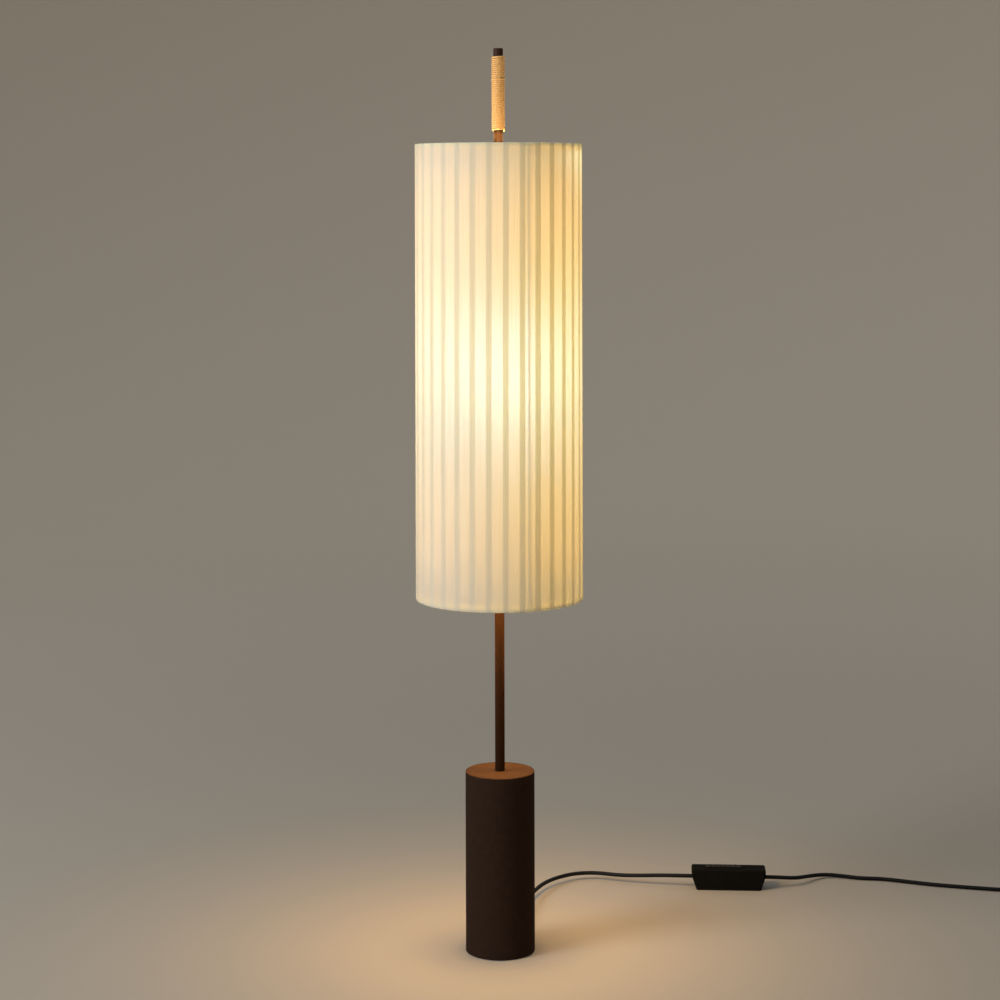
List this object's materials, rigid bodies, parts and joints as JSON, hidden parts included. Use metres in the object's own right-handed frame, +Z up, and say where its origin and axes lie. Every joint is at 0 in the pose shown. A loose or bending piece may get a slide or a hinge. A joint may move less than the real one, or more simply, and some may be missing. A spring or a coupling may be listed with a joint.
{
  "type": "floor lamp",
  "caption": "Floor lamp with a weighted cylinder base, slim pole, tall drum shade of overlapping ribbon strips, cord-wound grip on top and a slide dimmer on its lead.",
  "frame": {"origin": "centre of the base's underside, on the floor", "axes": "+Z up along the pole; -Y towards the camera of the picture; +X to the camera's right, where the lead runs"},
  "size_m": [1.0183, 0.4733, 1.307],
  "materials": {
    "brown_paint": "satin dark brown paint",
    "foot_rubber": "matt black non-slip sheet",
    "plate_steel": "plain zinc-plated steel",
    "weight_iron": "rough cast",
    "frame_paint": "white powder coat",
    "ribbon_cloth": "raw white woven ribbon",
    "grip_cord": "tan twisted cord",
    "lead_rubber": "matt black",
    "pin_metal": "nickel-plated",
    "holder_plastic": "matt black",
    "holder_ceramic": "glazed white porcelain",
    "cap_metal": "plain rolled aluminium",
    "bulb_clear": "clear",
    "filament_coat": "yellow phosphor coat, lit",
    "dimmer_plastic": "matt black",
    "board_resin": "green board",
    "tie_strap": "black woven strap"
  },
  "bodies": {
    "stand": {"base_casing": "brown_paint", "pole": "brown_paint", "pole_cap": "brown_paint", "shade_stop": "brown_paint", "holder_bracket": "brown_paint", "foot_pad": "foot_rubber", "base_plate": "plate_steel", "base_screws": "plate_steel", "pole_washer": "plate_steel", "pole_nut": "plate_steel", "bracket_screw": "plate_steel", "stop_screw": "plate_steel", "nipple_nut": "plate_steel", "holder_nut": "plate_steel", "holder_nipple": "plate_steel", "dimmer_screws": "plate_steel", "counterweight": "weight_iron", "grip_winding_lower": "grip_cord", "grip_winding_upper": "grip_cord", "cord_gland": "lead_rubber", "inner_lead": "lead_rubber", "lead_to_dimmer": "lead_rubber", "lead_to_coil": "lead_rubber", "lead_coil": "lead_rubber", "lead_to_plug": "lead_rubber", "plug_boot": "lead_rubber", "plug_body": "lead_rubber", "plug_pins": "pin_metal", "socket_contact": "pin_metal", "bulb_contact": "pin_metal", "socket_shell": "pin_metal", "lampholder": "holder_plastic", "socket_block": "holder_ceramic", "bulb_cap": "cap_metal", "bulb_glass": "bulb_clear", "bulb_stem": "bulb_clear", "bulb_filaments": "filament_coat", "dimmer_base": "dimmer_plastic", "dimmer_cover": "dimmer_plastic", "dimmer_board": "board_resin", "dimmer_resistor": "board_resin", "dimmer_terminals": "board_resin", "coil_tie": "tie_strap"},
    "shade": {"shade_ribbons": "ribbon_cloth", "shade_top_ring": "frame_paint", "shade_bottom_ring": "frame_paint", "shade_uprights": "frame_paint", "upper_spider": "frame_paint", "lower_spider": "frame_paint"},
    "slider": {"dimmer_slider": "dimmer_plastic"}
  },
  "joints": [
    {"name": "shade_turn", "type": "hinge", "parent": "stand", "child": "shade", "pos_m": [0, 0, 1.148], "axis": [0, 0, 1], "continuous": true},
    {"name": "dimmer_slide", "type": "slide", "parent": "stand", "child": "slider", "axis": [0.998, -0.0628, 0], "range_m": [-0.0085, 0.0255]}
  ]
}
